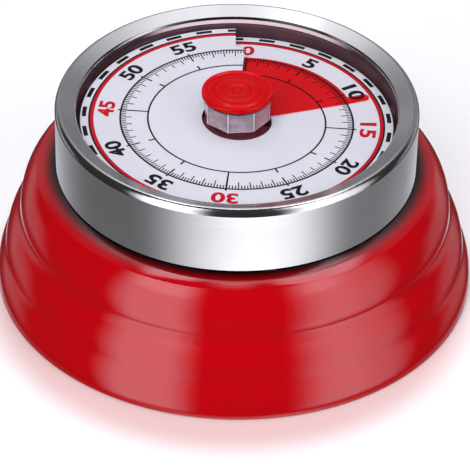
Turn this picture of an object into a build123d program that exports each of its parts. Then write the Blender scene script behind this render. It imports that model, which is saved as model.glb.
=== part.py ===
"""Mechanical visual countdown timer: a 60-minute clockwork under a spiral dial with a red film sector.

Millimetres, +Z up, origin on the axis at the plane that the timer stands on. Minutes count clockwise
from +Y, seen from above. Every piece is a separate solid in its own STEP file in parts/.
"""

from build123d import *
import os
from math import asin, atan2, cos, degrees, pi, radians, sin

os.makedirs("parts", exist_ok=True)

# ---- outside ----
BODY_R = 39.0  # red body at its foot
BODY_WALL = 1.8
RIM_Z = 0.1  # foot of the red body, just clear of the anti-slip ring's face
TIERS = [(BODY_R, 0.25), (37.55, 6.0), (34.9, 12.4), (32.1, 20.4), (29.2, 21.5)]  # crease radius, height
TIER_BULGES = [0.35, 0.55, 0.90, 0.15]  # how far each tier stands out from its chord
CREASE_FILLET = 3.2
CREST_FILLET = 0.3
NECK_R = 28.3  # the body's neck, inside the bezel
NECK_WALL = 1.4
NECK_TOP = 25.4

BEZEL_R = 29.0
BEZEL_WALL = 0.6
BEZEL_Z = 21.7
RIDGE_R, RIDGE_Z = 28.1, 33.1  # top ridge of the bezel
LIP_R, LIP_Z = 25.67, 32.1  # edge of the bezel's opening
SHOULDER_DROP = 1.2
LIP_WALL = 0.42
ROLL_Z = 31.05  # the lip's edge is rolled down to here, onto the lens
ROLL_WALL = 0.35
ROLL_FILLET = 0.35

# ---- dial and film ----
DIAL_R = 25.1
DIAL_HOLE_R = 5.6
DIAL_TOP = 28.7  # top of the dial at minute 0
DIAL_THICK = 0.3
SCREW_RISE = 1.7  # rise of the dial, and of the film and the knob, in one turn
SLIT_OUTER = -5.64  # degrees clockwise from minute 0
SLIT_INNER = -1.2
JOG_R = (18.9, 20.1)  # the slit steps from one angle to the other between these radii
FILM_R = 18.6
FILM_SWELL = 0.64  # the film widens by this towards its leading edge
FILM_THICK = 0.12
FILM_GAP = 0.12  # from the dial's face to the film's underside
FILM_LEAD = 68.2  # the film's leading edge at rest, 11.4 minutes
FILM_SPAN = 357.0
TAB_R = 22.6
TAB_WIDTH = 1.7
HUB_R = 4.6
HUB_Z = 26.75
HUB_FLOOR = 0.8
SLEEVE_R = 2.3  # sleeve of the hub that the knob stands on
FILM_IN_R = 3.6

CARRIER_R = 25.75  # inner wall round the dial
LENS_THICK = 0.25
CARRIER_TOP = ROLL_Z - LENS_THICK
CARRIER_FLOOR = 1.2
CARRIER_FLOOR_R = 21.0
RIB_COUNT = 12
LENS_R = 28.2
LENS_HOLE_R = 5.75

# ---- knob ----
SHAFT_R = 1.5
SHAFT_FLAT = 1.1  # from the axis to the flat that drives the knob and the film hub
SHAFT_TOP = 33.9  # leaves room under the cap, since the knob climbs with the film
GRIP_FLAT = 5.03  # from the axis to each of the grip's eight flats
GRIP_TURN = -78.0  # direction that one flat faces at rest, from +X
GRIP_Z = 30.35
GRIP_TOP = 34.55
CAP_R = 5.72
CAP_WALL = 0.26
CAP_RIM_Z = 34.63  # where the cap is widest
CAP_FOOT = 34.28
CAP_TOP = 35.5

# ---- movement ----
PLATE_R = 23.6
PLATE_THICK = 1.0
FRONT_PLATE_Z = 24.4
BACK_PLATE_Z = 12.4
RUN_CLEARANCE = 0.05  # radial, for shafts in their holes
MESH_CLEARANCE = 0.06  # added to each pair's centre distance
PILLAR_R = 1.6
RIVET_R = 0.8
SCREW_R = 0.6  # the movement's small screws
PILLAR_CIRCLE = 21.3
PILLAR_ANGLES = (75, 122, 290, 340)
WHEEL_THICK = 0.6
GREAT_TEETH, SECOND_PINION, MODULE_1 = 60, 12, 0.5
SECOND_TEETH, THIRD_PINION, MODULE_2 = 40, 10, 0.4
THIRD_TEETH, ESCAPE_PINION, MODULE_3 = 36, 9, 0.45
GREAT_Z, SECOND_Z, THIRD_Z, ESCAPE_Z = 22.8, 20.6, 18.2, 15.4
SECOND_ANGLE = 160.0  # where the second arbor stands, degrees from +X
ESCAPE_TEETH = 15
ESCAPE_R = 4.7
PALLET_REACH = 7.6  # escape arbor to pallet arbor
ARBOR_R = 0.7
PIVOT_R = 0.45
CAM_R = 4.8
CAM_Z = 21.4
CAM_THICK = 0.8
SPRING_Z = (14.4, 19.8)
SPRING_R = (2.5, 8.0)
SPRING_TURNS = 7
SPRING_STRIP = 0.25
HAMMER_CIRCLE = 17.2
HAMMER_ANGLE = 20.0
HAMMER_LENGTH = 7.0
HAMMER_SWING = 70.7  # the hammer's direction from its pivot, against the radius

# ---- back ----
GONG_R = 22.0
GONG_Z = (5.2, 11.2)
GONG_WALL = 0.8
COVER_R = 37.0
COVER_Z = 1.0
COVER_THICK = 1.2
MAGNET_R = 18.0
MAGNET_THICK = 3.6
ANTISLIP_R = (33.4, 35.6)
BOSS_CIRCLE = 30.4
BOSS_R = 2.6
BOSS_ANGLES = (100, 220, 320)
COVER_SCREW_R = 0.85
COVER_SCREW_HEAD_R = 1.9


# ---------------------------------------------------------------- helpers
def polar(radius, angle_deg, centre=(0, 0)):
    """A point at this radius and angle from +X about the centre."""
    return centre[0] + radius * cos(radians(angle_deg)), centre[1] + radius * sin(radians(angle_deg))


def clockwise(radius, angle_deg):
    """A point at this radius and angle clockwise from +Y, as the dial counts."""
    return polar(radius, 90 - angle_deg)


def disc(radius, z0, z1, centre=(0, 0)):
    return Pos(centre[0], centre[1], z0) * extrude(Circle(radius), z1 - z0)


def ring(r_out, r_in, z0, z1, centre=(0, 0)):
    return disc(r_out, z0, z1, centre) - disc(r_in, z0 - 1, z1 + 1, centre)


def turned(outline):
    """A solid of revolution from a closed face drawn as (radius, height)."""
    return revolve(Plane.XZ * outline, Axis.Z)


def turned_polygon(*points):
    return turned(make_face(Polyline(*points, close=True)))


def circles_at(solid, places):
    """The round edges of a turned solid at these radii and heights."""
    return [
        edge
        for edge in solid.edges().filter_by(GeomType.CIRCLE)
        if any(abs(edge.radius - r) < 0.02 and abs(edge.center().Z - z) < 0.02 for r, z in places)
    ]


def save(node, *shapes):
    """One STEP file per node; a node of like pieces holds them as separate solids."""
    solids = [solid for shape in shapes for solid in shape.solids()]
    export_step(solids[0] if len(solids) == 1 else Compound(solids), f"parts/{node}.step")


def screw(head_r, head_h, shank_r, length, z_head, centre):
    """A slotted screw whose head's top is at z_head and whose shank goes down, or up if length < 0."""
    up = length < 0
    low, high = (z_head, z_head + head_h) if up else (z_head - head_h, z_head)
    slot_z = low if up else high
    body = disc(head_r, low, high, centre)
    body -= Pos(centre[0], centre[1], slot_z) * Box(2 * head_r, 0.45, head_h)
    shank = (high, high - length) if up else (low - length, low)
    return body + disc(shank_r, *shank, centre)


# ---------------------------------------------------------------- housing
def tier_arc(foot, top, bulge):
    """The convex side of one tier, standing out from the chord between its two creases."""
    along = (top[0] - foot[0], top[1] - foot[1])
    length = (along[0] ** 2 + along[1] ** 2) ** 0.5
    middle = (
        (foot[0] + top[0]) / 2 + along[1] / length * bulge,
        (foot[1] + top[1]) / 2 - along[0] / length * bulge,
    )
    return ThreePointArc(foot, middle, top)


def base_shell():
    """Red tiered body: a thin spun shell, a neck for the bezel and three bosses for the cover screws."""
    sides = [tier_arc(a, b, bulge) for a, b, bulge in zip(TIERS, TIERS[1:], TIER_BULGES)]
    inner_neck = NECK_R - NECK_WALL
    bay = COVER_R + 0.2  # radius of the recess for the back cover
    lines = sides + [
        Polyline(
            TIERS[-1],
            (NECK_R, TIERS[-1][1]),
            (NECK_R, NECK_TOP),
            (inner_neck, NECK_TOP),
            (inner_neck, TIERS[3][1] - BODY_WALL / 2),
            (TIERS[3][0] - BODY_WALL, TIERS[3][1] - BODY_WALL),
            (TIERS[2][0] - BODY_WALL - 0.3, TIERS[3][1] - 2 * BODY_WALL),
            (TIERS[2][0] - BODY_WALL, TIERS[2][1]),
            (TIERS[1][0] - BODY_WALL, TIERS[1][1]),
            (bay, COVER_Z + COVER_THICK + 0.2),
            (bay, RIM_Z),
            (BODY_R - 0.2, RIM_Z),
            TIERS[0],
        )
    ]
    shell = turned(make_face(lines))
    shell = fillet(circles_at(shell, TIERS[1:3]), CREASE_FILLET)
    shell = fillet(circles_at(shell, TIERS[3:4]), CREST_FILLET)
    for angle in BOSS_ANGLES:
        centre = polar(BOSS_CIRCLE, angle)
        boss = disc(BOSS_R, COVER_Z + COVER_THICK, TIERS[3][1] - BODY_WALL, centre)
        shell = shell + boss - disc(COVER_SCREW_R + 0.05, 0, TIERS[2][1], centre)
    return shell


def bezel_ring():
    """Polished steel bezel: a tall band, a rounded shoulder and a lip that slopes in and is rolled down."""
    inner = BEZEL_R - BEZEL_WALL
    shoulder_z = RIDGE_Z - SHOULDER_DROP
    shoulder = EllipticalCenterArc(
        (RIDGE_R, shoulder_z), BEZEL_R - RIDGE_R, SHOULDER_DROP, start_angle=0, arc_size=90
    )
    rest = Polyline(
        (RIDGE_R, RIDGE_Z),
        (LIP_R, LIP_Z),
        (LIP_R, ROLL_Z),
        (LIP_R + ROLL_WALL, ROLL_Z),
        (LIP_R + ROLL_WALL, LIP_Z - LIP_WALL),
        (RIDGE_R - 0.3, RIDGE_Z - LIP_WALL - 0.15),
        (inner, shoulder_z - 0.1),
        (inner, BEZEL_Z),
        (BEZEL_R, BEZEL_Z),
        (BEZEL_R, shoulder_z),
    )
    bezel = turned(make_face([shoulder, rest]))
    return fillet(circles_at(bezel, [(LIP_R, LIP_Z)]), ROLL_FILLET)


def dial_carrier():
    """Dark moulded ring: it carries the dial on ribs of rising height, and the lens on its top."""
    carrier = turned_polygon(
        (CARRIER_FLOOR_R, NECK_TOP),
        (NECK_R, NECK_TOP),
        (NECK_R, CARRIER_TOP),
        (CARRIER_R, CARRIER_TOP),
        (CARRIER_R, NECK_TOP + CARRIER_FLOOR),
        (CARRIER_FLOOR_R, NECK_TOP + CARRIER_FLOOR),
    )
    dial_seat = DIAL_TOP - DIAL_THICK
    carrier += ribs(0, 360, 23.2, CARRIER_R + 0.2, 2.0, NECK_TOP + CARRIER_FLOOR - 0.2, dial_seat)
    for angle in CARRIER_SCREW_ANGLES:
        carrier -= disc(SCREW_R, 20, 30, polar(CARRIER_SCREW_CIRCLE, angle))
    return carrier


def dial_lens():
    """Clear disc under the bezel's lip, with a hole for the grip."""
    return ring(LENS_R, LENS_HOLE_R, CARRIER_TOP, CARRIER_TOP + LENS_THICK)


def back_cover():
    """Black cover with a cup for the magnet and three screw holes."""
    cup_wall, cup_roof = 1.0, 0.9
    cup_top = MAGNET_THICK + cup_roof
    cover = turned_polygon(
        (0, MAGNET_THICK),
        (MAGNET_R + 0.05, MAGNET_THICK),
        (MAGNET_R + 0.05, COVER_Z),
        (COVER_R, COVER_Z),
        (COVER_R, COVER_Z + COVER_THICK),
        (MAGNET_R + cup_wall, COVER_Z + COVER_THICK),
        (MAGNET_R + cup_wall, cup_top),
        (0, cup_top),
    )
    for angle in BOSS_ANGLES:
        centre = polar(BOSS_CIRCLE, angle)
        cover -= disc(COVER_SCREW_R + 0.3, 0, 4, centre)
        cover -= disc(COVER_SCREW_HEAD_R + 0.2, 0, COVER_Z + 0.6, centre)
    return cover


def magnet():
    return chamfer(disc(MAGNET_R, 0, MAGNET_THICK).edges().filter_by(GeomType.CIRCLE), 0.3)


def antislip_ring():
    soft = ring(ANTISLIP_R[1], ANTISLIP_R[0], 0, COVER_Z)
    return fillet(soft.edges().group_by(Axis.Z)[0], 0.3)


def cover_screws():
    return [
        screw(COVER_SCREW_HEAD_R, 0.6, COVER_SCREW_R, -6.0, COVER_Z, polar(BOSS_CIRCLE, angle))
        for angle in BOSS_ANGLES
    ]


# ---------------------------------------------------------------- dial and film
def dial_height(angle_deg):
    """Height of the dial's face at an angle clockwise from minute 0."""
    return DIAL_TOP + SCREW_RISE * angle_deg / 360


def screw_sheet(r_in, r_out, start, end, top_at_zero, thickness):
    """A sheet that rises clockwise like a spiral ramp, from one clockwise angle to another."""
    span = end - start
    path = Helix(SCREW_RISE, SCREW_RISE * span / 360, (r_in + r_out) / 2, lefthand=True)
    section = Plane.XZ * Pos((r_in + r_out) / 2, -thickness / 2) * Rectangle(r_out - r_in, thickness)
    sheet = sweep(section, path, is_frenet=True)
    return Pos(0, 0, top_at_zero + SCREW_RISE * start / 360) * Rot(0, 0, 90 - start) * sheet


def ribs(start, span, r_in, r_out, width, foot, seat_at_zero):
    """Radial ribs round a ring; each level top stops just under a spiral sheet that rises clockwise."""
    blocks = []
    for rib in range(RIB_COUNT):
        angle = start + (rib + 0.5) * span / RIB_COUNT
        low_side = angle - degrees(width / 2 / r_in)
        top = seat_at_zero + SCREW_RISE * low_side / 360 - 0.02
        block = Pos((r_in + r_out) / 2, 0, (foot + top) / 2) * Box(r_out - r_in, width, top - foot)
        blocks.append(Rot(0, 0, 90 - angle) * block)
    return blocks


def wedge(z0, z1, *points):
    """A straight-sided cutter over (radius, clockwise angle) corners."""
    corners = [clockwise(radius, angle) for radius, angle in points]
    return Pos(0, 0, z0) * extrude(make_face(Polyline(*corners, close=True)), z1 - z0)


def dial_plate():
    """White spiral dial: its end at minute 60 lies above its start, with a stepped slit between."""
    end = 360 + SLIT_INNER
    sheet = screw_sheet(DIAL_HOLE_R, DIAL_R, SLIT_OUTER, end, DIAL_TOP, DIAL_THICK)
    low, high = dial_height(0) - 1.0, dial_height(360) + 0.5
    between = dial_height(180) - DIAL_THICK / 2
    start_corner = wedge(
        low,
        between,
        (0.5, 180),
        (JOG_R[0], SLIT_INNER),
        (JOG_R[1], SLIT_OUTER),
        (JOG_R[1], SLIT_OUTER - 6),
        (3.0, SLIT_OUTER - 60),
    )
    end_corner = wedge(
        between,
        high,
        (JOG_R[0], SLIT_INNER),
        (JOG_R[1], SLIT_OUTER),
        (DIAL_R + 1, SLIT_OUTER),
        (DIAL_R + 1, SLIT_INNER + 3),
        (JOG_R[0], SLIT_INNER + 3),
    )
    return sheet - start_corner - end_corner


def film_disc():
    """Red film of one turn, with the pointer tab on its leading edge."""
    top = DIAL_TOP + FILM_GAP + FILM_THICK
    sheet = screw_sheet(FILM_IN_R, TAB_R, FILM_LEAD - FILM_SPAN, FILM_LEAD, top, FILM_THICK)
    tab = Pos(*clockwise(TAB_R / 2 + 4, FILM_LEAD)) * Rot(0, 0, 90 - FILM_LEAD)
    tab = tab * SlotOverall(TAB_R - 8, TAB_WIDTH)
    tab = Rot(0, 0, 1.2 * degrees(TAB_WIDTH / 2 / TAB_R)) * tab
    swell = Pos(*clockwise(FILM_SWELL, FILM_LEAD + 20)) * Circle(FILM_R)
    trim = Circle(TAB_R + 1) - Circle(FILM_R) - swell - tab
    return sheet - Pos(0, 0, DIAL_TOP - 3) * extrude(trim, 6)


def film_hub():
    """Hub that carries the film on ribs of rising height; it slides on the arbor's flat with the knob."""
    seat = DIAL_TOP + FILM_GAP
    sill = seat + SCREW_RISE * (FILM_LEAD - FILM_SPAN) / 360 - 0.2
    hub = ring(HUB_R, FILM_IN_R - 0.3, HUB_Z, sill)
    hub += ribs(FILM_LEAD - FILM_SPAN, FILM_SPAN, FILM_IN_R - 0.2, HUB_R, 0.9, sill - 0.2, seat)
    hub += disc(FILM_IN_R, HUB_Z, HUB_Z + HUB_FLOOR)
    hub += disc(SLEEVE_R, HUB_Z, GRIP_Z)
    return hub - sliding_bore(HUB_Z, GRIP_Z)


# ---------------------------------------------------------------- knob and main arbor
def keyed_shaft(radius, flat, z0, z1):
    """A round shaft with one flat along it."""
    cutter = Pos(flat + radius, 0, (z0 + z1) / 2) * Box(2 * radius, 4 * radius, z1 - z0 + 2)
    return disc(radius, z0, z1) - cutter


def sliding_bore(z0, z1):
    """Cutter for a bore that runs along the keyed shaft."""
    return keyed_shaft(SHAFT_R + RUN_CLEARANCE, SHAFT_FLAT + RUN_CLEARANCE, z0 - 1, z1 + 1)


def knob_grip():
    """Clear eight-sided grip, with soft corners, fixed on the hub's sleeve."""
    prism = Pos(0, 0, GRIP_Z) * extrude(RegularPolygon(GRIP_FLAT, 8, major_radius=False), GRIP_TOP - GRIP_Z)
    prism = Rot(0, 0, GRIP_TURN - 22.5) * prism
    prism = fillet(prism.edges().filter_by(Axis.Z), 0.4)
    prism = chamfer(prism.edges().group_by(Axis.Z)[0], 0.25)
    return prism - sliding_bore(GRIP_Z, GRIP_TOP)


def knob_cap():
    """Red domed cap with low rings on its top and a dimple in the middle."""
    drops = [(0, 0.14), (0.6, 0.24), (1.0, 0.20), (1.6, 0), (2.3, 0.16), (2.9, 0.03), (3.5, 0.23), (4.2, 0.17)]
    rings = [(radius, CAP_TOP - drop) for radius, drop in drops + [(5.1, 0.42)]]
    top = Spline(*rings, (CAP_R, CAP_RIM_Z), tangents=[(1, 0), (0, -1)])
    inner = CAP_R - CAP_WALL
    skirt = Polyline((CAP_R, CAP_RIM_Z), (CAP_R - 0.1, CAP_FOOT), (inner, CAP_FOOT))
    under = Polyline((inner, CAP_FOOT), (inner, GRIP_TOP), (0, GRIP_TOP), rings[0])
    return turned(make_face([top, skirt, under]))


def main_arbor():
    """Steel arbor from the back plate up into the knob, with a collet for the mainspring."""
    arbor = disc(SHAFT_R, BACK_PLATE_Z - 0.3, FRONT_PLATE_Z + PLATE_THICK + 0.4)
    arbor += keyed_shaft(SHAFT_R, SHAFT_FLAT, FRONT_PLATE_Z + PLATE_THICK, SHAFT_TOP)
    return arbor + disc(2.1, SPRING_Z[0], SPRING_Z[1]) + disc(2.4, CAM_Z + CAM_THICK, GREAT_Z)


def strike_cam():
    """Cam with one drop, which lets the hammer go at minute 0."""
    drop = 1.2
    rise = Spline(*[polar(CAM_R - drop * (1 - step / 3) ** 2, 40 - 25 * step) for step in range(4)])
    big = CenterArc((0, 0), CAM_R, -35, -285)
    fall = Line(polar(CAM_R, 40), polar(CAM_R - drop, 40))
    cam = Pos(0, 0, CAM_Z) * extrude(make_face([rise, big, fall]), CAM_THICK)
    return cam - disc(SHAFT_R, CAM_Z - 1, CAM_Z + 2)


# ---------------------------------------------------------------- train
def gear_face(teeth, module, phase):
    """Outline of a gear whose tooth 0 points at the phase angle; its teeth are thinned for running room."""
    pitch_r = teeth * module / 2
    pitch = 2 * pi * pitch_r / teeth
    flanks = ((pitch_r - 1.3 * module, 0.29), (pitch_r, 0.215), (pitch_r + 0.85 * module, 0.09))
    corners = []
    for tooth in range(teeth):
        middle = phase + tooth * 360 / teeth
        corners += [polar(r, middle - degrees(half * pitch / r)) for r, half in flanks]
        corners += [polar(r, middle + degrees(half * pitch / r)) for r, half in reversed(flanks)]
    return make_face(Polyline(*corners, close=True))


def gear(teeth, module, phase, z, thickness, centre):
    return Pos(centre[0], centre[1], z) * extrude(gear_face(teeth, module, phase), thickness)


def spoked_wheel(teeth, module, phase, z, centre, bore_r):
    """A brass wheel with its bore and five lightening holes."""
    wheel = gear(teeth, module, phase, z, WHEEL_THICK, centre)
    pitch_r = teeth * module / 2
    wheel -= disc(bore_r, z - 1, z + 2, centre)
    for hole in range(5):
        wheel -= disc(0.19 * pitch_r, z - 1, z + 2, polar(0.56 * pitch_r, hole * 72 + phase, centre))
    return wheel


def meshed_phase(direction, teeth, phase, other_teeth):
    """Phase of a gear whose gap faces the tooth of another gear, which stands in this direction from it."""
    pitch = 360 / teeth
    past_tooth = ((direction - phase) % pitch) / pitch
    return direction + 180 + 360 / other_teeth * (past_tooth - 0.5)


def direction_of(start, end):
    return degrees(atan2(end[1] - start[1], end[0] - start[0]))


def centre_distance(teeth, pinion, module):
    return (teeth + pinion) * module / 2 + MESH_CLEARANCE


# The three train arbors stand on one circle about the main arbor.
TRAIN_CIRCLE = centre_distance(GREAT_TEETH, SECOND_PINION, MODULE_1)
THIRD_ANGLE = SECOND_ANGLE + 2 * degrees(
    asin(centre_distance(SECOND_TEETH, THIRD_PINION, MODULE_2) / 2 / TRAIN_CIRCLE)
)
ESCAPE_ANGLE = THIRD_ANGLE + 2 * degrees(
    asin(centre_distance(THIRD_TEETH, ESCAPE_PINION, MODULE_3) / 2 / TRAIN_CIRCLE)
)
PALLET_ANGLE = ESCAPE_ANGLE + 2 * degrees(asin(PALLET_REACH / 2 / TRAIN_CIRCLE))
SECOND_AT = polar(TRAIN_CIRCLE, SECOND_ANGLE)
THIRD_AT = polar(TRAIN_CIRCLE, THIRD_ANGLE)
ESCAPE_AT = polar(TRAIN_CIRCLE, ESCAPE_ANGLE)
PALLET_AT = polar(TRAIN_CIRCLE, PALLET_ANGLE)
HAMMER_AT = polar(HAMMER_CIRCLE, HAMMER_ANGLE)

SECOND_PHASE = meshed_phase(SECOND_ANGLE, GREAT_TEETH, 0, SECOND_PINION)
THIRD_PHASE = meshed_phase(direction_of(SECOND_AT, THIRD_AT), SECOND_TEETH, SECOND_PHASE, THIRD_PINION)
ESCAPE_PHASE = meshed_phase(direction_of(THIRD_AT, ESCAPE_AT), THIRD_TEETH, THIRD_PHASE, ESCAPE_PINION)

CARRIER_SCREW_CIRCLE = 22.3
CARRIER_SCREW_ANGLES = (40, 100, 270)


def pinion_arbor(teeth, module, phase, z0, z1, centre, wheel_z):
    """A steel arbor with its pinion cut in one piece, a seat for the wheel and a pivot at each end."""
    low = BACK_PLATE_Z + PLATE_THICK + 0.15
    high = FRONT_PLATE_Z - 0.15
    arbor = disc(ARBOR_R, low, high, centre)
    arbor += disc(PIVOT_R, BACK_PLATE_Z + 0.1, FRONT_PLATE_Z + PLATE_THICK - 0.1, centre)
    arbor += disc(1.2, wheel_z - 0.5, wheel_z, centre)
    return arbor + gear(teeth, module, phase, z0, z1 - z0, centre)


def escape_wheel():
    """Thin wheel with fifteen pointed, leaning teeth."""
    corners = []
    for tooth in range(ESCAPE_TEETH):
        middle = tooth * 360 / ESCAPE_TEETH
        corners.append(polar(ESCAPE_R - 1.1, middle))
        corners.append(polar(ESCAPE_R, middle + 4))
        corners.append(polar(ESCAPE_R, middle + 5.5))
        corners.append(polar(ESCAPE_R - 1.1, middle + 15))
    face = make_face(Polyline(*corners, close=True))
    wheel = Pos(ESCAPE_AT[0], ESCAPE_AT[1], ESCAPE_Z) * extrude(face, 0.5)
    return wheel - disc(ARBOR_R, ESCAPE_Z - 1, ESCAPE_Z + 2, ESCAPE_AT)


def bar(start, end, width, z0, z1):
    """A flat bar with round ends between two points."""
    length = ((end[0] - start[0]) ** 2 + (end[1] - start[1]) ** 2) ** 0.5
    slot = Rot(0, 0, direction_of(start, end)) * SlotCenterToCenter(length, width)
    return Pos((start[0] + end[0]) / 2, (start[1] + end[1]) / 2, z0) * extrude(slot, z1 - z0)


def pallet_lever():
    """Anchor with two upright pins beside the escape wheel."""
    to_wheel = direction_of(PALLET_AT, ESCAPE_AT)
    lever = disc(1.3, ESCAPE_Z + 0.9, ESCAPE_Z + 1.5, PALLET_AT)
    for side in (-1, 1):
        tip = polar(4.82, to_wheel + side * 48.4, PALLET_AT)
        lever += bar(PALLET_AT, tip, 1.0, ESCAPE_Z + 0.9, ESCAPE_Z + 1.5)
        lever += disc(0.2, ESCAPE_Z - 0.3, ESCAPE_Z + 1.0, tip)
    return lever - disc(PIVOT_R + 0.1, ESCAPE_Z, ESCAPE_Z + 3, PALLET_AT)


def pallet_arbor():
    arbor = disc(PIVOT_R + 0.1, BACK_PLATE_Z + PLATE_THICK + 0.15, FRONT_PLATE_Z - 0.15, PALLET_AT)
    return arbor + disc(PIVOT_R - 0.1, BACK_PLATE_Z + 0.1, FRONT_PLATE_Z + PLATE_THICK - 0.1, PALLET_AT)


def balance_bar():
    """Inertia bar with a weight at each end, which sets the rate of the ticks."""
    across = direction_of(PALLET_AT, ESCAPE_AT) + 90
    ends = [polar(side * 3.4, across, PALLET_AT) for side in (-1, 1)]
    weight = bar(ends[0], ends[1], 1.0, ESCAPE_Z - 1.5, ESCAPE_Z - 0.9)
    weight += disc(1.1, ESCAPE_Z - 1.5, ESCAPE_Z - 0.7, PALLET_AT)
    for end in ends:
        weight += disc(0.95, ESCAPE_Z - 1.5, ESCAPE_Z - 0.5, end)
    return weight - disc(PIVOT_R + 0.1, 10, ESCAPE_Z, PALLET_AT)


def mainspring():
    """Flat spiral strip between the collet and the anchor post."""
    steps = SPRING_TURNS * 8
    centre_line = []
    for step in range(steps + 1):
        part = step / steps
        centre_line.append((SPRING_R[0] + (SPRING_R[1] - SPRING_R[0]) * part, part * SPRING_TURNS * 360))
    outer = Spline(*[polar(radius + SPRING_STRIP / 2, angle) for radius, angle in centre_line])
    inner = Spline(*[polar(radius - SPRING_STRIP / 2, angle) for radius, angle in centre_line])
    ends = [Line(outer @ 0, inner @ 0), Line(outer @ 1, inner @ 1)]
    strip = make_face([outer, inner] + ends)
    return Pos(0, 0, SPRING_Z[0]) * extrude(strip, SPRING_Z[1] - SPRING_Z[0])


def spring_post():
    """Post that holds the mainspring's outer end."""
    radius = 0.6
    outside_spring = SPRING_R[1] + SPRING_STRIP / 2 + radius + 0.02
    return disc(radius, BACK_PLATE_Z + PLATE_THICK, SPRING_Z[1] + 0.4, (outside_spring, 0))


def plate(z, arbors, through_hammer):
    """A round movement plate with pivot holes and pillar holes."""
    blank = disc(PLATE_R, z, z + PLATE_THICK)
    blank -= disc(SHAFT_R + RUN_CLEARANCE, z - 1, z + 2)
    for centre, radius in arbors:
        blank -= disc(radius + RUN_CLEARANCE, z - 1, z + 2, centre)
    for angle in PILLAR_ANGLES:
        blank -= disc(SCREW_R if through_hammer else RIVET_R, z - 1, z + 2, polar(PILLAR_CIRCLE, angle))
    if through_hammer:
        blank -= disc(ARBOR_R + RUN_CLEARANCE, z - 1, z + 2, HAMMER_AT)
    else:
        for angle in CARRIER_SCREW_ANGLES:
            blank -= disc(SCREW_R, z - 1, z + 2, polar(CARRIER_SCREW_CIRCLE, angle))
        blank -= disc(PIVOT_R + RUN_CLEARANCE, z - 1, z + 2, HAMMER_AT)
    return blank


def pillars():
    """Four pillars, riveted into the front plate at their tops and tapped for screws at their feet."""
    low, high = BACK_PLATE_Z + PLATE_THICK, FRONT_PLATE_Z
    posts = []
    for angle in PILLAR_ANGLES:
        centre = polar(PILLAR_CIRCLE, angle)
        rivet = disc(RIVET_R, high, high + PLATE_THICK, centre)
        posts.append(disc(PILLAR_R, low, high, centre) + rivet - disc(SCREW_R, low - 1, low + 4, centre))
    return posts


def pillar_screws():
    """Screws up through the back plate into the pillars' feet."""
    head = 0.6
    return [
        screw(1.3, head, SCREW_R, -4.0, BACK_PLATE_Z - head, polar(PILLAR_CIRCLE, angle))
        for angle in PILLAR_ANGLES
    ]


def carrier_screws():
    """Screws that hold the movement up against the carrier's floor."""
    return [
        screw(1.2, 0.6, SCREW_R, -2.0, FRONT_PLATE_Z - 0.6, polar(CARRIER_SCREW_CIRCLE, angle))
        for angle in CARRIER_SCREW_ANGLES
    ]


# ---------------------------------------------------------------- striking work
def gong():
    """Steel bell dish under the movement."""
    foot, rim = GONG_Z
    return turned_polygon(
        (1.0, foot),
        (GONG_R - 3.0, foot),
        (GONG_R + GONG_WALL, foot + 2.6),
        (GONG_R + GONG_WALL, rim),
        (GONG_R, rim),
        (GONG_R, foot + 3.0),
        (GONG_R - 3.4, foot + GONG_WALL),
        (1.0, foot + GONG_WALL),
    )


def gong_post():
    """Post from the back plate that the gong hangs on."""
    flange_z = BACK_PLATE_Z - 0.8
    post = disc(2.4, GONG_Z[0] + GONG_WALL, flange_z) + disc(3.4, flange_z, BACK_PLATE_Z)
    post -= disc(0.9, 0, BACK_PLATE_Z - 1.4)
    return post - disc(SHAFT_R + 0.3, BACK_PLATE_Z - 0.6, BACK_PLATE_Z + 1)


def gong_screw():
    return screw(2.0, 0.6, 0.85, -4.4, GONG_Z[0] - 0.6, (0, 0))


def hammer_arbor():
    low, high = 7.4, FRONT_PLATE_Z - 0.15
    pivot = disc(PIVOT_R, high, FRONT_PLATE_Z + PLATE_THICK - 0.1, HAMMER_AT)
    return disc(ARBOR_R, low, high, HAMMER_AT) + pivot


def hammer_head():
    """Hammer on its arm, just inside the gong's wall."""
    head_at = polar(HAMMER_LENGTH, HAMMER_ANGLE + HAMMER_SWING, HAMMER_AT)
    arm = bar(HAMMER_AT, head_at, 1.3, 9.2, 10.0) + disc(1.4, 8.8, 10.4, HAMMER_AT)
    return arm + disc(1.2, 8.5, 10.7, head_at) - disc(ARBOR_R, 5, 12, HAMMER_AT)


def hammer_tail():
    """Tail that the cam holds back until minute 0."""
    tip = polar(5.75, HAMMER_ANGLE - 37)
    high = CAM_Z + CAM_THICK
    tail = bar(HAMMER_AT, tip, 0.9, CAM_Z, high) + disc(1.4, CAM_Z, high, HAMMER_AT)
    return tail - disc(ARBOR_R, CAM_Z - 1, high + 1, HAMMER_AT)


def hammer_spring():
    """Wire coil round the hammer's arbor."""
    turns, wire_r, coil_r, z = 5, 0.2, 1.35, 14.2
    path = Helix(0.7, 0.7 * turns, coil_r)
    coil = sweep(Plane.XZ * Pos(coil_r, 0) * Circle(wire_r), path, is_frenet=True)
    return Pos(HAMMER_AT[0], HAMMER_AT[1], z) * coil


# ---------------------------------------------------------------- the nodes
save("base_shell", base_shell())
save("bezel_ring", bezel_ring())
save("dial_carrier", dial_carrier())
save("dial_plate", dial_plate())
save("dial_lens", dial_lens())
save("back_cover", back_cover())
save("magnet", magnet())
save("antislip_ring", antislip_ring())
save("cover_screws", *cover_screws())

save("film_disc", film_disc())
save("film_hub", film_hub())
save("knob_grip", knob_grip())
save("knob_cap", knob_cap())
save("main_arbor", main_arbor())
save("great_wheel", spoked_wheel(GREAT_TEETH, MODULE_1, 0, GREAT_Z, (0, 0), SHAFT_R))
save("strike_cam", strike_cam())

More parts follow.
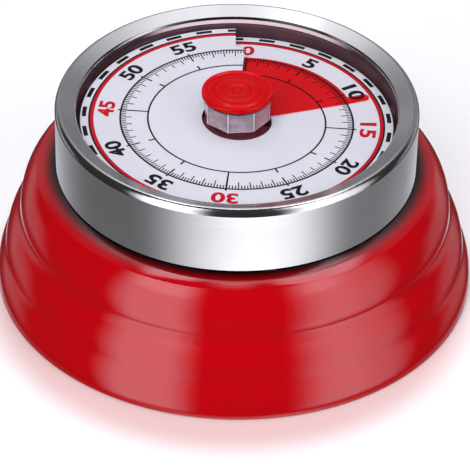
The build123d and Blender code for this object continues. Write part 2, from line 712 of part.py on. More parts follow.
save("second_arbor", pinion_arbor(SECOND_PINION, MODULE_1, SECOND_PHASE, 22.0, 23.9, SECOND_AT, SECOND_Z))
save("second_wheel", spoked_wheel(SECOND_TEETH, MODULE_2, SECOND_PHASE, SECOND_Z, SECOND_AT, ARBOR_R))
save("third_arbor", pinion_arbor(THIRD_PINION, MODULE_2, THIRD_PHASE, 20.0, 21.9, THIRD_AT, THIRD_Z))
save("third_wheel", spoked_wheel(THIRD_TEETH, MODULE_3, THIRD_PHASE, THIRD_Z, THIRD_AT, ARBOR_R))
save("escape_arbor", pinion_arbor(ESCAPE_PINION, MODULE_3, ESCAPE_PHASE, 17.6, 19.5, ESCAPE_AT, ESCAPE_Z))
save("escape_wheel", escape_wheel())
save("pallet_lever", pallet_lever())
save("pallet_arbor", pallet_arbor())
save("balance_bar", balance_bar())

save("mainspring", mainspring())
save("spring_post", spring_post())
pivots = [(SECOND_AT, PIVOT_R), (THIRD_AT, PIVOT_R), (ESCAPE_AT, PIVOT_R), (PALLET_AT, PIVOT_R - 0.1)]
save("front_plate", plate(FRONT_PLATE_Z, pivots, False))
save("back_plate", plate(BACK_PLATE_Z, pivots, True))
save("pillars", *pillars())
save("pillar_screws", *pillar_screws())
save("carrier_screws", *carrier_screws())

save("gong", gong())
save("gong_post", gong_post())
save("gong_screw", gong_screw())
save("hammer_arbor", hammer_arbor())
save("hammer_head", hammer_head())
save("hammer_tail", hammer_tail())
save("hammer_spring", hammer_spring())

# where the joints stand, for the record
for name, centre in (
    ("second", SECOND_AT),
    ("third", THIRD_AT),
    ("escape", ESCAPE_AT),
    ("pallet", PALLET_AT),
    ("hammer", HAMMER_AT),
):
    print(name, centre)
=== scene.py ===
# Looks of the visual countdown timer, in metres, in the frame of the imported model: a finish for every
# piece, the print on the dial, the edge of the film, the studio and the camera. All angles are in degrees.
from functools import reduce
from math import ceil, cos, degrees, radians, sin, tau

import bmesh
import bpy
from mathutils import Matrix, Vector


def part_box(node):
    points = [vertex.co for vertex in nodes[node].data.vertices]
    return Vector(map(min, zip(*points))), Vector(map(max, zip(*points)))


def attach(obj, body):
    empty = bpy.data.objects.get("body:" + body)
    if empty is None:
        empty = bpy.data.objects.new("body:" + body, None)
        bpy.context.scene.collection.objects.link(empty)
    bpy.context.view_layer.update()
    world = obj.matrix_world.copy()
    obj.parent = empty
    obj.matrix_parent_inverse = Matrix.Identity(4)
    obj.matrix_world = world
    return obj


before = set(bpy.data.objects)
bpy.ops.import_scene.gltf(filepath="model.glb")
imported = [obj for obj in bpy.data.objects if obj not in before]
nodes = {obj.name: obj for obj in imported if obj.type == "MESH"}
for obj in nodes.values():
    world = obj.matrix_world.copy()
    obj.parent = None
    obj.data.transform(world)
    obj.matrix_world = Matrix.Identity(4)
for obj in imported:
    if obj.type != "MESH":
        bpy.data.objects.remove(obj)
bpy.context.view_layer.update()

MM = 0.001

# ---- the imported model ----
DIAL_TOP = 28.7 * MM  # face of the dial at minute 0
DIAL_R = 25.1 * MM
DIAL_HOLE_R = 5.6 * MM
SCREW_RISE = 1.7 * MM  # rise of the dial and of the film in one turn
SLIT_OUTER = -5.64  # the slit outside its step, clockwise from minute 0
SLIT_INNER = -1.2  # and inside it
FILM_R = 18.6 * MM
FILM_TOP = DIAL_TOP + 0.24 * MM  # upper face of the film at minute 0
FILM_LEAD = 68.2  # the film's leading edge at rest, clockwise from minute 0
FILM_SPAN = 357.0
FILM_SWELL = 0.64 * MM  # the film is this much wider on one side
FILM_SWELL_AT = FILM_LEAD + 20.0  # middle of that side
BODY_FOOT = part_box("base_shell")[0][2]
BEZEL_R, _, BEZEL_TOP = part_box("bezel_ring")[1]
GRIP_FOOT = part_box("knob_grip")[0][2]
GRIP_FLATS = 8
GRIP_TURN = -78.0  # direction that one flat of the grip faces, from +X
CAP_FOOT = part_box("knob_cap")[0][2]
CAP_RING = 1.3 * MM  # spacing of the cap's rings

# ---- the print ----
INK = 0.02 * MM  # thickness of the ink
SCALE_LINE = 0.30 * MM
INNER_LINE = 0.28 * MM
TICK_LINE = 0.18 * MM
INNER_TICK_LINE = 0.30 * MM
DEGREES_PER_MINUTE = 6
INNER_CIRCLE_R = 14.2 * MM
SCALE_R = 18.6 * MM
QUARTER_TICK_R = 17.7 * MM  # the ticks run inwards from the scale's circle
MINUTE_TICK_R = 16.8 * MM
FIVE_TICK_R = (16.8 * MM, 19.1 * MM)
INNER_TICK_R = 15.3 * MM
NUMBER_R = 21.0 * MM
NUMBER_HEIGHT = 2.65 * MM
NUMBER_WIDTH = 2.2 * MM  # one digit with its space
NUMBER_FILL = 0.96  # the digits' share of that width
NUMBER_BOLD = 0.032  # how much the digits' outline grows, as a share of their size
RED_RING_R = (22.85 * MM, 23.40 * MM)
BLACK_RING_R = (23.40 * MM, 23.70 * MM)
DASH_R = (24.06 * MM, 24.73 * MM)
DASH_COUNT = 29
DIAL_EDGE_R = (DIAL_R - 0.12 * MM, DIAL_R)
BAND_STEP = 2.0  # longest straight stretch of a curved band


# ---------------------------------------------------------------- node trees
def srgb(*screen):
    """A colour written as 0 to 255 on the screen, as the linear colour that shaders take."""
    shares = [value / 255 for value in screen]
    linear = [share / 12.92 if share <= 0.04045 else ((share + 0.055) / 1.055) ** 2.4 for share in shares]
    return (*linear, 1.0)


class Tree:
    """Short calls that build a node tree. An input takes a number, a colour or another node's output."""

    def __init__(self, tree):
        self.tree = tree
        self.tree.nodes.clear()

    def put(self, socket, value):
        if isinstance(value, bpy.types.NodeSocket):
            self.tree.links.new(value, socket)
        else:
            socket.default_value = value

    def add(self, kind, settings=None, **inputs):
        """A new node. An underscore in an input's keyword stands for a space in the input's name."""
        node = self.tree.nodes.new(kind)
        for key, value in (settings or {}).items():
            setattr(node, key, value)
        for key, value in inputs.items():
            self.put(node.inputs[key.replace("_", " ")], value)
        return node

    def math(self, operation, *values):
        node = self.add("ShaderNodeMath", {"operation": operation})
        for socket, value in zip(node.inputs, values):
            self.put(socket, value)
        return node.outputs[0]

    def product(self, *factors):
        return reduce(lambda first, second: self.math("MULTIPLY", first, second), factors)

    def rest(self, share):
        """What a share leaves of 1."""
        return self.math("SUBTRACT", 1.0, share)

    def between(self, share, low, high):
        """low where the share is 0, high where it is 1, and in proportion between."""
        return self.math("ADD", self.product(self.rest(share), low), self.product(share, high))

    def fade(self, value, start, end, low=0.0, high=1.0):
        """low before start, high after end, and a smooth change between."""
        settings = {"interpolation_type": "SMOOTHSTEP"}
        node = self.add("ShaderNodeMapRange", settings, Value=value, From_Min=start, From_Max=end)
        self.put(node.inputs["To Min"], low)
        self.put(node.inputs["To Max"], high)
        return node.outputs["Result"]

    def fade_out(self, value, start, end):
        """1 before start, 0 after end, and a smooth change between."""
        return self.fade(value, start, end, 1.0, 0.0)

    def mix(self, factor, first, second):
        """Two colours mixed, by the sockets that the node has for colours."""
        node = self.add("ShaderNodeMix", {"data_type": "RGBA"}, Factor=factor)
        self.put(node.inputs[6], first)
        self.put(node.inputs[7], second)
        return node.outputs[2]

    def mix_shaders(self, factor, first, second):
        node = self.add("ShaderNodeMixShader")
        for socket, value in zip(node.inputs, (factor, first, second)):
            self.put(socket, value)
        return node.outputs[0]

    def place(self):
        """Object coordinates, in metres."""
        return self.add("ShaderNodeTexCoord").outputs["Object"]

    def split(self, vector):
        parts = self.add("ShaderNodeSeparateXYZ", Vector=vector)
        return [parts.outputs[axis] for axis in "XYZ"]

    def distance(self, x, y):
        return self.math("SQRT", self.math("ADD", self.product(x, x), self.product(y, y)))

    def polar(self):
        """Distance from the object's axis and height, in metres."""
        x, y, z = self.split(self.place())
        return self.distance(x, y), z

    def azimuth(self, side, ahead):
        """A direction in degrees: 0 is ahead and 90 is to the side."""
        return self.math("DEGREES", self.math("ARCTAN2", side, ahead))

    def off(self, azimuth, middle, turn=360.0):
        """Degrees between an azimuth and the nearest of those that lie whole turns from middle."""
        past = self.math("SUBTRACT", azimuth, middle)
        return self.math("ABSOLUTE", self.math("WRAP", past, -turn / 2, turn / 2))

    def noise(self, where, scale, detail=3.0, roughness=0.5):
        node = self.add("ShaderNodeTexNoise", Vector=where, Scale=scale, Detail=detail, Roughness=roughness)
        return node.outputs["Fac"]

    def turned_noise(self, scale, detail=3.0):
        """Lines round the axis: they change with the height on a wall and with the radius on a face."""
        radius, height = self.polar()
        where = self.add("ShaderNodeCombineXYZ", X=radius, Y=height).outputs["Vector"]
        return self.noise(where, scale, detail)

    def relief(self, height, depth):
        """A bumped normal; depth is in metres."""
        return self.add("ShaderNodeBump", Height=height, Strength=1.0, Distance=depth).outputs["Normal"]

    def tangent(self):
        """The direction round the axis, along which turned metal is scratched."""
        return self.add("ShaderNodeTangent", {"direction_type": "RADIAL", "axis": "Z"}).outputs["Tangent"]

    def seen(self):
        """1 for what the camera sees, straight or through clear pieces; 0 for light and reflections."""
        path = self.add("ShaderNodeLightPath")
        return self.math("MAXIMUM", path.outputs["Is Camera Ray"], path.outputs["Is Transmission Ray"])

    def principled(self, **inputs):
        return self.add("ShaderNodeBsdfPrincipled", **inputs).outputs["BSDF"]

    def output(self, shader):
        self.add("ShaderNodeOutputMaterial", Surface=shader)


def new_material(name):
    material = bpy.data.materials.new(name)
    material.use_nodes = True
    return material, Tree(material.node_tree)


# ---------------------------------------------------------------- plain finishes
# The scale of a noise is in cells per metre, and most of its values lie in the narrow range below.
NARROW = (0.3, 0.7)
WIDE = (0.2, 0.8)
BRUSH_LINES = 9000.0
BRUSH_BANDS = BRUSH_LINES / 12


def finish(name, light, dark, gloss, patches=180.0, grain=2500.0, depth=0.004 * MM, **fixed):
    """An opaque finish: two close tones in patches, a roughness from one end of gloss to the other, and
    a fine relief."""
    material, tree = new_material(name)
    where = tree.place()
    patch = tree.fade(tree.noise(where, patches, detail=4.0), *NARROW)
    fine = tree.noise(where, grain, roughness=0.6)
    tree.output(tree.principled(
        Base_Color=tree.mix(patch, srgb(*light), srgb(*dark)),
        Roughness=tree.fade(tree.between(0.5, fine, patch), *WIDE, *gloss),
        Normal=tree.relief(fine, depth),
        **fixed,
    ))
    return material


def brushed(name, light, dark, gloss, anisotropic):
    """Turned metal: fine lines and broader bands round the axis, under smudges."""
    material, tree = new_material(name)
    bands = tree.turned_noise(BRUSH_BANDS)
    smudge = tree.fade(tree.noise(tree.place(), 70.0, detail=4.0), 0.35, 0.75)
    tree.output(tree.principled(
        Base_Color=tree.mix(bands, srgb(*light), srgb(*dark)),
        Metallic=1.0,
        Roughness=tree.fade(tree.between(0.6, smudge, bands), *WIDE, *gloss),
        Anisotropic=anisotropic,
        Normal=tree.relief(tree.turned_noise(BRUSH_LINES, detail=2.0), 0.001 * MM),
        Tangent=tree.tangent(),
    ))
    return material


# ---------------------------------------------------------------- the body
SHADE_R = (BEZEL_R + 0.2 * MM, BEZEL_R + 2.8 * MM)  # the painted shade under the bezel ends between these radii
SHADE_Z = (16.0 * MM, 17.0 * MM)  # and begins between these heights
MATT_Z = (BODY_FOOT + 0.15 * MM, BODY_FOOT + 0.35 * MM)  # the matt edge ends between these heights


def body_red():
    """Gloss red lacquer, faintly wavy; painted shade close under the bezel, and matt along the edge it
    stands on.
    """
    material, tree = new_material("timer_body_red")
    where = tree.place()
    radius, height = tree.polar()
    lacquer = tree.mix(tree.noise(where, 60.0), srgb(179, 1, 12), srgb(172, 0, 10))
    # painted shade: the lacquer turns near black close under the bezel, where its shadow falls
    shade = tree.product(tree.fade_out(radius, *SHADE_R), tree.fade(height, *SHADE_Z))
    gloss = tree.fade(tree.noise(where, 140.0, detail=4.0), 0.3, 0.75, low=0.04, high=0.07)
    tree.output(tree.principled(
        Base_Color=tree.mix(shade, lacquer, srgb(20, 0, 1)),
        Roughness=tree.math("ADD", gloss, tree.fade(height, *MATT_Z, low=0.6, high=0.0)),
        Normal=tree.relief(tree.noise(where, 700.0, detail=2.0), 0.0007 * MM),
        IOR=1.58,
    ))
    return material


# ---------------------------------------------------------------- the bezel
WALL_END = (BEZEL_TOP - 1.5 * MM, BEZEL_TOP - 1.2 * MM)  # the brushing ends between these heights
ROLL_TOP = (BEZEL_TOP - 1.38 * MM, BEZEL_TOP - 1.30 * MM)  # the lip's rolled edge lies below this
ROLL_R = (25.72 * MM, 25.80 * MM)  # and inside this
GROOVE_R = (25.84 * MM, 25.90 * MM)  # the groove's painted shade lies inside this, just above the roll
PAINTED_HIGHLIGHT_BACK = (28.0, 44.0)  # the roll's painted highlight spans this far to each side of +Y; beyond, the roll has painted shade


def bezel_steel():
    """Brushed wall, polished shoulder and lip. The lip's rolled edge has a painted highlight at the back,
    under a groove with painted shade, and painted shade all round the rest."""
    material, tree = new_material("timer_bezel_steel")
    x, y, height = tree.split(tree.place())
    radius = tree.distance(x, y)
    wall = tree.fade_out(height, *WALL_END)
    # where the roll's painted highlight lies, at the back
    back = tree.fade_out(tree.math("ABSOLUTE", tree.azimuth(x, y)), *PAINTED_HIGHLIGHT_BACK)
    roll = tree.product(tree.fade_out(radius, *ROLL_R), tree.fade_out(height, *ROLL_TOP))
    # painted shade in the groove just above the roll, at the back
    groove_shade = tree.product(tree.fade_out(radius, *GROOVE_R), tree.fade(height, *ROLL_TOP), back)
    smudge = tree.noise(tree.place(), 60.0, detail=4.0)
    uneven = tree.fade(tree.between(0.25, smudge, tree.turned_noise(2400.0)), *NARROW)
    steel = tree.mix(uneven, srgb(211, 210, 207), srgb(204, 203, 201))
    # the roll is painted: dark shade all round, a pale highlight at the back
    steel = tree.mix(roll, steel, tree.mix(back, srgb(58, 36, 44), srgb(236, 214, 218)))
    wall_gloss = tree.fade(uneven, 0.0, 1.0, low=0.15, high=0.18)
    lip_gloss = tree.fade(uneven, 0.0, 1.0, low=0.10, high=0.13)
    gloss = tree.between(wall, lip_gloss, wall_gloss)
    lines = tree.product(tree.turned_noise(14000.0, detail=1.0), wall)
    tree.output(tree.principled(
        # the groove's painted shade
        Base_Color=tree.mix(groove_shade, steel, srgb(26, 20, 24)),
        Metallic=tree.rest(tree.math("MAXIMUM", roll, groove_shade)),
        Roughness=tree.math("MAXIMUM", gloss, tree.product(roll, 0.6)),
        Anisotropic=0.35,
        Normal=tree.relief(lines, 0.00002 * MM),
        Tangent=tree.tangent(),
    ))
    return material


# ---------------------------------------------------------------- the lens and the film
FILM_OWN = 0.05  # share of the film's colour that is its own and not the dial's behind it
FILM_GLUED_R = (DIAL_HOLE_R, DIAL_HOLE_R + 0.1 * MM)


def lens_clear():
    """Thin clear plastic: light passes straight through, with a mirror that grows towards the edges."""
    material, tree = new_material("timer_lens_clear")
    smears = tree.fade(tree.noise(tree.place(), 90.0, detail=4.0), 0.4, 0.8, low=0.02, high=0.07)
    clear = tree.add("ShaderNodeBsdfTransparent", Color=(0.97, 0.975, 0.98, 1.0)).outputs[0]
    mirror = tree.add("ShaderNodeBsdfGlossy", Roughness=smears).outputs[0]
    outside = tree.rest(tree.add("ShaderNodeNewGeometry").outputs["Backfacing"])
    fresnel = tree.add("ShaderNodeFresnel", IOR=1.35).outputs[0]
    tree.output(tree.mix_shaders(tree.product(outside, fresnel), clear, mirror))
    return material


def film_red():
    """Tinted film: the dial shows through it in red, and its inner margin is glued down and dark."""
    material, tree = new_material("timer_film_red")
    where = tree.place()
    radius, _ = tree.polar()
    glued = tree.fade_out(radius, *FILM_GLUED_R)
    cloud = tree.noise(where, 150.0)
    tint = tree.mix(cloud, (0.995, 0.30, 0.35, 1.0), (0.98, 0.27, 0.32, 1.0))
    own = tree.mix(cloud, srgb(250, 34, 46), srgb(240, 26, 38))
    through = tree.add("ShaderNodeBsdfTransparent", Color=tint).outputs[0]
    face = tree.principled(
        Base_Color=tree.mix(glued, own, srgb(150, 66, 80)),
        Roughness=tree.fade(cloud, *NARROW, low=0.18, high=0.3),
        Normal=tree.relief(tree.noise(where, 1500.0, detail=2.0), 0.001 * MM),
    )
    tree.output(tree.mix_shaders(tree.math("MAXIMUM", glued, FILM_OWN), through, face))
    return material


# ---------------------------------------------------------------- the knob
CAP_SLOPE_R = 0.85 * CAP_RING  # middle of the slope that rises to the first ring
CAP_EDGE_SHADE_Z = (CAP_FOOT + 0.28 * MM, CAP_FOOT + 0.38 * MM)  # the painted shade along the cap's lower edge ends between these
GRIP_SHADE = (18.6, 19.8)  # from a flat's middle to the painted shade line beside each corner
GRIP_CORNER_HIGHLIGHT = (20.4, 21.2)  # and to the painted highlight line on the corner
GRIP_FOOT_HIGHLIGHT_Z = (GRIP_FOOT + 0.30 * MM, GRIP_FOOT + 0.36 * MM)  # the painted highlight line round the foot ends here
GRIP_FILM_REFLECTION_AT = GRIP_TURN + 360.0 / GRIP_FLATS  # the next flat, which has a painted reflection of the film's red
GRIP_FILM_REFLECTION_SPAN = (20.0, 24.0)


def cap_red():
    """Gloss red, with painted shade in the troughs of its rings and along its lower edge over the grip."""
    material, tree = new_material("timer_cap_red")
    where = tree.place()
    radius, height = tree.polar()
    cloud = tree.noise(where, 400.0)
    phase = tree.product(tree.math("SUBTRACT", radius, CAP_SLOPE_R), tau / CAP_RING)
    # painted shade in the troughs between the rings
    trough_shade = tree.fade(tree.math("SINE", phase), -1.0, 1.0, low=0.35, high=0.0)
    face = tree.mix(trough_shade, tree.mix(cloud, srgb(206, 1, 9), srgb(198, 0, 7)), srgb(150, 0, 4))
    tree.output(tree.principled(
        # painted shade along the lower edge, where the cap overhangs the grip
        Base_Color=tree.mix(tree.fade_out(height, *CAP_EDGE_SHADE_Z), face, srgb(44, 0, 4)),
        Roughness=tree.fade(cloud, *NARROW, low=0.07, high=0.12),
        Normal=tree.relief(tree.noise(where, 900.0, detail=2.0), 0.001 * MM),
        Specular_IOR_Level=0.15,
    ))
    return material


def grip_clear():
    """Clear acrylic with a milky body; painted highlights along its eight upright corners and round its
    foot, painted shade lines beside the corners, and a painted reflection of the film's red on one flat.
    """
    material, tree = new_material("timer_grip_clear")
    where = tree.place()
    x, y, height = tree.split(where)
    azimuth = tree.azimuth(y, x)
    haze = tree.fade(tree.noise(where, 700.0, detail=5.0), *NARROW)
    off_flat = tree.off(azimuth, GRIP_TURN, 360.0 / GRIP_FLATS)
    # painted highlights on the corners and round the foot, painted shade lines beside the corners
    corner_highlight = tree.fade(off_flat, *GRIP_CORNER_HIGHLIGHT)
    shade = tree.product(tree.fade(off_flat, *GRIP_SHADE), tree.rest(corner_highlight), 0.6)
    glow = tree.product(tree.math("MAXIMUM", corner_highlight, tree.fade_out(height, *GRIP_FOOT_HIGHLIGHT_Z)), 0.8)
    # painted reflection of the red film on the next flat
    tint = tree.fade(tree.off(azimuth, GRIP_FILM_REFLECTION_AT), *GRIP_FILM_REFLECTION_SPAN, low=0.6, high=0.0)
    body = tree.mix(haze, srgb(214, 192, 204), srgb(176, 150, 164))
    body = tree.mix(tint, body, srgb(206, 96, 118))
    body = tree.mix(shade, body, srgb(96, 70, 84))
    tree.output(tree.principled(
        Base_Color=tree.mix(glow, body, srgb(250, 244, 248)),
        Roughness=tree.fade(haze, 0.0, 1.0, low=0.04, high=0.12),
        IOR=1.49,
        Transmission_Weight=0.5,
        Normal=tree.relief(haze, 0.006 * MM),
    ))
    return material


# ---------------------------------------------------------------- a finish for every node
def make_materials():
    """The finish of each slot in the record: light and dark tone, ends of the roughness, and the rest."""
    steel = ((205, 205, 207), (178, 179, 183))
    return {
        "body_red": body_red(),
        "bezel_steel": bezel_steel(),
        "carrier_maroon": finish("timer_carrier_maroon", (94, 60, 68), (80, 50, 58), (0.32, 0.42),
                                 grain=1800.0, Specular_IOR_Level=0.15),
        "dial_white": finish("timer_dial_white", (231, 228, 234), (226, 223, 229), (0.55, 0.7),
                             patches=90.0),
        "lens_clear": lens_clear(),
        "film_red": film_red(),
        "grip_clear": grip_clear(),
        "cap_red": cap_red(),
        "cover_black": finish("timer_cover_black", (34, 33, 35), (24, 24, 26), (0.5, 0.7),
                              depth=0.03 * MM),
        "magnet_ferrite": finish("timer_magnet_ferrite", (62, 60, 62), (44, 43, 46), (0.55, 0.8),
                                 depth=0.02 * MM),
        "antislip_rubber": finish("timer_rubber", (30, 29, 31), (20, 20, 22), (0.75, 0.95),
                                  depth=0.03 * MM),
        "screw_steel": brushed("timer_screw_steel", *steel, (0.28, 0.42), 0.3),
        "arbor_steel": brushed("timer_arbor_steel", *steel, (0.2, 0.34), 0.4),
        "wheel_brass": brushed("timer_wheel_brass", (214, 176, 98), (186, 146, 74), (0.25, 0.4), 0.4),
        "plate_brass": brushed("timer_plate_brass", (206, 170, 100), (176, 140, 78), (0.3, 0.5), 0.3),
        "spring_steel": brushed("timer_spring_steel", (120, 132, 158), (84, 92, 118), (0.22, 0.36), 0.4),
        "gong_steel": brushed("timer_gong_steel", (214, 212, 208), (188, 186, 184), (0.16, 0.3), 0.5),
    }


def dress_cad_nodes(materials):
    """Every CAD node gets the finish that stands under its own slot's name, and the hub one of its own."""
    for node in nodes.values():
        for place in node.material_slots:
            place.material = materials[place.material.name.split(".")[0]]
    hub = finish("timer_hub_maroon", (170, 74, 90), (150, 62, 76), (0.3, 0.4), grain=1800.0)
    for place in nodes["film_hub"].material_slots:
        place.material = hub
    nodes["base_shell"].visible_glossy = False  # the bezel's steel mirrors the studio, and not the body


# ---------------------------------------------------------------- bands and pieces
def on_spiral(radius, angle, height):
    """A point on a face that rises clockwise; the angle is clockwise from minute 0."""
    turn = radians(angle)
    return Vector((radius * sin(turn), radius * cos(turn), height + SCREW_RISE * angle / 360))


def band(mesh, radii, start, end, foot=DIAL_TOP - INK, top=DIAL_TOP + INK):
    """Adds a closed flat band between two radii and two angles, which follows the spiral."""
    inner, outer = radii
    corners = ((inner, foot), (outer, foot), (outer, top), (inner, top))
    parts = ceil((end - start) / BAND_STEP)
    loops = []
    for part in range(parts + 1):
        angle = start + (end - start) * part / parts
        loops.append([mesh.verts.new(on_spiral(radius, angle, height)) for radius, height in corners])
    for here, there in zip(loops, loops[1:]):
        for side in range(len(corners)):
            mesh.faces.new((here[side - 1], there[side - 1], there[side], here[side]))
    mesh.faces.new(loops[0])
    mesh.faces.new(reversed(loops[-1]))


def radial_line(mesh, radii, angle, width):
    half = degrees(width / sum(radii))
    band(mesh, radii, angle - half, angle + half)


def piece(name, mesh, material, body):
    """Turns a bmesh into a piece that rides on a body."""
    bmesh.ops.recalc_face_normals(mesh, faces=mesh.faces)
    data = bpy.data.meshes.new(name)
    mesh.to_mesh(data)
    mesh.free()
    data.materials.append(material)
    made = bpy.data.objects.new(name, data)
    bpy.context.scene.collection.objects.link(made)
    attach(made, body)


# ---------------------------------------------------------------- the print on the dial
def print_scale(ink):
    """Two circles, with a tick for each quarter of a minute and longer ones at 1, 5 and 15 minutes."""
    mesh = bmesh.new()
    for radius, line in ((INNER_CIRCLE_R, INNER_LINE), (SCALE_R, SCALE_LINE)):
        band(mesh, (radius - line / 2, radius + line / 2), SLIT_INNER, 360 + SLIT_INNER)
    for quarter in range(60 * 4):
        minute = quarter / 4
        angle = minute * DEGREES_PER_MINUTE
        if minute % 15 == 0:
            radial_line(mesh, (INNER_CIRCLE_R, FIVE_TICK_R[1]), angle, INNER_LINE)
        elif minute % 5 == 0:
            radial_line(mesh, FIVE_TICK_R, angle, INNER_LINE)
            radial_line(mesh, (INNER_CIRCLE_R, INNER_TICK_R), angle, INNER_TICK_LINE)
        else:
            start = MINUTE_TICK_R if minute % 1 == 0 else QUARTER_TICK_R
            radial_line(mesh, (start, SCALE_R), angle, TICK_LINE)
    piece("print_scale", mesh, ink, "case")


def print_rings(black, red):
    """A red ring, a black one round it, a ring of dashes and a line along the dial's edge."""
    end = 360 + SLIT_OUTER
    mesh = bmesh.new()
    band(mesh, RED_RING_R, SLIT_OUTER, end)
    piece("print_red_ring", mesh, red, "case")
    mesh = bmesh.new()
    band(mesh, BLACK_RING_R, SLIT_OUTER, end)
    band(mesh, DIAL_EDGE_R, SLIT_OUTER, end)
    spacing = 360 / DASH_COUNT
    length = spacing / 2
    for dash in range(DASH_COUNT + 1):  # the slit cuts the first dash, whose other half comes last
        start = SLIT_OUTER + dash * spacing - length / 2
        band(mesh, DASH_R, max(start, SLIT_OUTER), min(start + length, end))
    piece("print_dashes", mesh, black, "case")


def digits(text):
    """A closed mesh of upright digits, one unit high and thick, round the origin, and its width."""
    curve = bpy.data.curves.new("digits", "FONT")
    curve.body = text
    curve.offset = NUMBER_BOLD
    curve.extrude = 0.5
    curve.resolution_u = 6
    holder = bpy.data.objects.new("digits", curve)
    bpy.context.scene.collection.objects.link(holder)
    bpy.context.view_layer.update()
    data = bpy.data.meshes.new_from_object(holder)
    bpy.data.objects.remove(holder)
    mesh = bmesh.new()
    mesh.from_mesh(data)
    bpy.data.meshes.remove(data)
    low = [min(vertex.co[axis] for vertex in mesh.verts) for axis in (0, 1)]
    high = [max(vertex.co[axis] for vertex in mesh.verts) for axis in (0, 1)]
    width, height = high[0] - low[0], high[1] - low[1]
    for vertex in mesh.verts:
        for axis in (0, 1):
            vertex.co[axis] = (vertex.co[axis] - (low[axis] + high[axis]) / 2) / height
    return mesh, width / height


def print_numbers(black, red):
    """The twelve numbers, bent round the dial with their tops outwards."""
    for minute in range(0, 60, 5):
        text = str(minute)
        mesh, width = digits(text)
        narrow = len(text) * NUMBER_WIDTH * NUMBER_FILL / (width * NUMBER_HEIGHT)
        for vertex in mesh.verts:
            across, up, thick = vertex.co
            angle = minute * DEGREES_PER_MINUTE + degrees(across * narrow * NUMBER_HEIGHT / NUMBER_R)
            radius = NUMBER_R + up * NUMBER_HEIGHT
            vertex.co = on_spiral(radius, angle, DIAL_TOP + INK * 2 * thick)
        ink = red if minute % 15 == 0 else black
        piece(f"print_number_{minute:02d}", mesh, ink, "case")


def print_dial():
    black = finish("timer_ink_black", (10, 9, 12), (17, 15, 20), (0.45, 0.6), Specular_IOR_Level=0.1)
    red = finish("timer_ink_red", (205, 10, 34), (196, 6, 28), (0.45, 0.6), Specular_IOR_Level=0.1)
    print_scale(black)
    print_rings(black, red)
    print_numbers(black, red)


# ---------------------------------------------------------------- the film's edge
BEAD_WIDTH = 0.25 * MM
BEAD_HEIGHT = 0.06 * MM
BEAD_STEP = 3.0  # the bead's radius changes once in this


def film_outline(angle):
    """Radius of the film: a circle, joined with one of the same size that is set off to one side."""
    off = radians(angle - FILM_SWELL_AT)
    inside = FILM_R ** 2 - (FILM_SWELL * sin(off)) ** 2
    return max(FILM_R, FILM_SWELL * cos(off) + inside ** 0.5)


def film_edge():
    """A thin bead along the film's outer edge."""
    mesh = bmesh.new()
    count = ceil(FILM_SPAN / BEAD_STEP)
    span = FILM_SPAN / count
    for step in range(count):
        start = FILM_LEAD - span * (step + 1)
        outer = film_outline(start)
        band(mesh, (outer - BEAD_WIDTH, outer), start, start + span, FILM_TOP, FILM_TOP + BEAD_HEIGHT)
    red = finish("timer_film_bead", (232, 24, 36), (220, 16, 28), (0.2, 0.3))
    piece("film_bead", mesh, red, "knob")


# ---------------------------------------------------------------- the sky
# Soft boxes as panels of the sky. Azimuth 0 is towards -Y and +90 towards +X.
# name: azimuth of the middle, half width, softness; lowest and highest elevation, softness; strength
PANELS = {
    "front_left": (-35, 18, 9, -32, 56, 3, 2.1),
    "front_left_top": (-35, 16, 8, 25, 41, 5, 1.0),
    "front_right": (62, 24, 10, -31, 56, 3, 1.2),
    "front_right_core": (56, 12, 12, -31, 56, 3, 0.8),
    "front_right_top": (53, 10, 10, 25, 41, 5, 1.0),
    "side_left": (-121, 15, 8, -26, -3, 6, 0.34),
    "side_right": (133, 17, 8, -27, -4, 6, 0.30),
    "left": (-115, 22, 6, 68, 80, 3, 3.2),
    "right": (112, 24, 6, 58, 79, 4, 2.8),
    "top": (180, 190, 1, 86, 100, 4, 1.4),
    "back": (180, 62, 30, 56, 120, 26, 1.15),
    "back_low": (180, 50, 12, -14, 24, 8, 0.24),
    "back_mid": (180, 50, 12, 24, 110, 8, 0.12),
    "back_mid_left": (151, 14, 5, 20, 90, 8, 0.15),
    "back_mid_right": (-146, 16, 6, 18, 90, 8, 0.18),
    "back_high_right": (-136, 14, 8, 52, 76, 6, 0.30),
    "floor": (0, 190, 1, -100, -34.5, 1.5, 0.16),
    "floor_front": (17, 37, 37, -100, -34.5, 1.5, 1.85),
    "floor_right": (106, 26, 10, -100, -34.5, 1.5, 0.08),
    "floor_back": (-176, 42, 38, -100, -34.5, 1.5, 0.5),
}
SKY_LEVEL = 0.04
WHITE = (1.0, 1.0, 1.0, 1.0)
SOFT_BOX = (0.97, 0.98, 1.07, 1.0)


def panel_light(tree, azimuth, elevation, panel):
    """How much light one panel sends from a direction; it fades at the panel's sides, foot and top."""
    middle, half, soft_side, low, high, soft, strength = panel
    return tree.product(
        tree.fade_out(tree.off(azimuth, middle), half - soft_side, half + soft_side),
        tree.fade(elevation, low - soft, low + soft),
        tree.fade_out(elevation, high - soft, high + soft),
        strength,
    )


def make_sky():
    """The panels light the object, and the camera sees white."""
    world = bpy.data.worlds.new("studio")
    world.use_nodes = True
    bpy.context.scene.world = world
    tree = Tree(world.node_tree)
    x, y, z = tree.split(tree.add("ShaderNodeTexCoord").outputs["Generated"])
    azimuth = tree.azimuth(x, tree.product(y, -1.0))
    elevation = tree.math("DEGREES", tree.math("ARCSINE", z))
    light = SKY_LEVEL
    for panel in PANELS.values():
        light = tree.math("ADD", light, panel_light(tree, azimuth, elevation, panel))
    studio = tree.add("ShaderNodeBackground", Color=SOFT_BOX, Strength=light).outputs[0]
    paper = tree.add("ShaderNodeBackground", Color=WHITE, Strength=1.0).outputs[0]
    tree.add("ShaderNodeOutputWorld", Surface=tree.mix_shaders(tree.seen(), studio, paper))


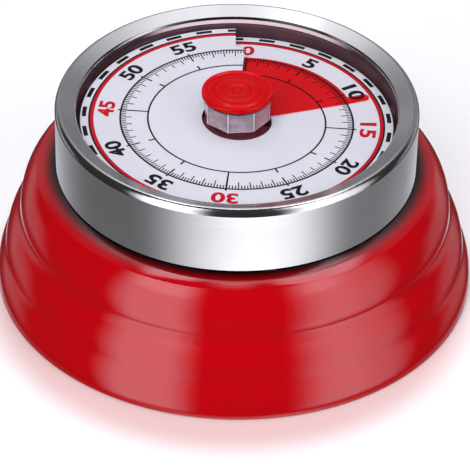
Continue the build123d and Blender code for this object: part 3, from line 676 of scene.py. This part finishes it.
# ---------------------------------------------------------------- the floor
FLOOR_HALF = 1.5
FLOOR_WHITE = (0.86, 0.86, 0.86, 1.0)
FLOOR_GLOW = 0.12  # what the paper floor adds for the camera, so that it shows white
FLOOR_GAP = 0.02 * MM  # keeps the floor clear of the faces that stand on it
ROSY_SHADE = (0.66, 0.45, 0.44, 1.0)  # painted shade and red bounce light from the body, on the paper close to it
ROSY_SHADE_R = (35.2 * MM, 43.0 * MM)
ROSY_SHADE_SHIFT = 7.0 * MM  # the painted rosy shade lies this far towards the front


def floor_paper():
    material, tree = new_material("studio_floor")
    x, y, _ = tree.split(tree.place())
    # painted shade and red bounce light round the body's foot
    rosy_shade = tree.fade_out(tree.distance(x, tree.math("ADD", y, ROSY_SHADE_SHIFT)), *ROSY_SHADE_R)
    paper = tree.add("ShaderNodeBsdfDiffuse", Color=tree.mix(rosy_shade, FLOOR_WHITE, ROSY_SHADE))
    glow = tree.add("ShaderNodeEmission", Color=WHITE, Strength=tree.product(tree.seen(), FLOOR_GLOW))
    both = tree.add("ShaderNodeAddShader")
    for socket, shader in zip(both.inputs, (paper, glow)):
        tree.put(socket, shader.outputs[0])
    tree.output(both.outputs[0])
    return material


def make_floor():
    mesh = bmesh.new()
    bmesh.ops.create_grid(mesh, x_segments=8, y_segments=8, size=FLOOR_HALF)
    data = bpy.data.meshes.new("floor")
    mesh.to_mesh(data)
    mesh.free()
    data.materials.append(floor_paper())
    floor = bpy.data.objects.new("floor", data)
    floor.location.z = -FLOOR_GAP
    floor.visible_glossy = False
    bpy.context.scene.collection.objects.link(floor)


# ---------------------------------------------------------------- the lamp
LAMP_AT = Vector((-60.0, -420.0, 620.0)) * MM
LAMP_SIZE = 0.5
LAMP_WATTS = 3.25


def make_lamp():
    """A large soft lamp that fills in the matt surfaces; the panels alone show in the gloss."""
    data = bpy.data.lights.new("fill", "AREA")
    data.shape = "DISK"
    data.size = LAMP_SIZE
    data.energy = LAMP_WATTS
    lamp = bpy.data.objects.new("fill", data)
    bpy.context.scene.collection.objects.link(lamp)
    lamp.matrix_world = Matrix.Translation(LAMP_AT) @ LAMP_AT.to_track_quat("Z", "Y").to_matrix().to_4x4()
    lamp.visible_glossy = False


# ---------------------------------------------------------------- the camera
CAMERA_AT = Vector((28.80, -369.59, 291.92)) * MM
CAMERA_RIGHT = Vector((0.99581, 0.09003, 0.01640))
CAMERA_UP = Vector((-0.06790, 0.60677, 0.79197))
CAMERA_LENS = 217.8
CAMERA_SENSOR = 36.0
CAMERA_CLIP = (0.02, 20.0)


def make_camera():
    data = bpy.data.cameras.new("camera")
    data.lens = CAMERA_LENS
    data.sensor_width = CAMERA_SENSOR
    data.clip_start, data.clip_end = CAMERA_CLIP
    camera = bpy.data.objects.new("camera", data)
    bpy.context.scene.collection.objects.link(camera)
    back = CAMERA_RIGHT.cross(CAMERA_UP).normalized()
    up = back.cross(CAMERA_RIGHT).normalized()
    right = up.cross(back)
    turn = Matrix((right, up, back)).transposed()
    camera.matrix_world = Matrix.Translation(CAMERA_AT) @ turn.to_4x4()
    bpy.context.scene.camera = camera


# ---------------------------------------------------------------- the scene
dress_cad_nodes(make_materials())
print_dial()
film_edge()
make_sky()
make_floor()
make_lamp()
make_camera()
bpy.context.scene.view_settings.view_transform = "Standard"
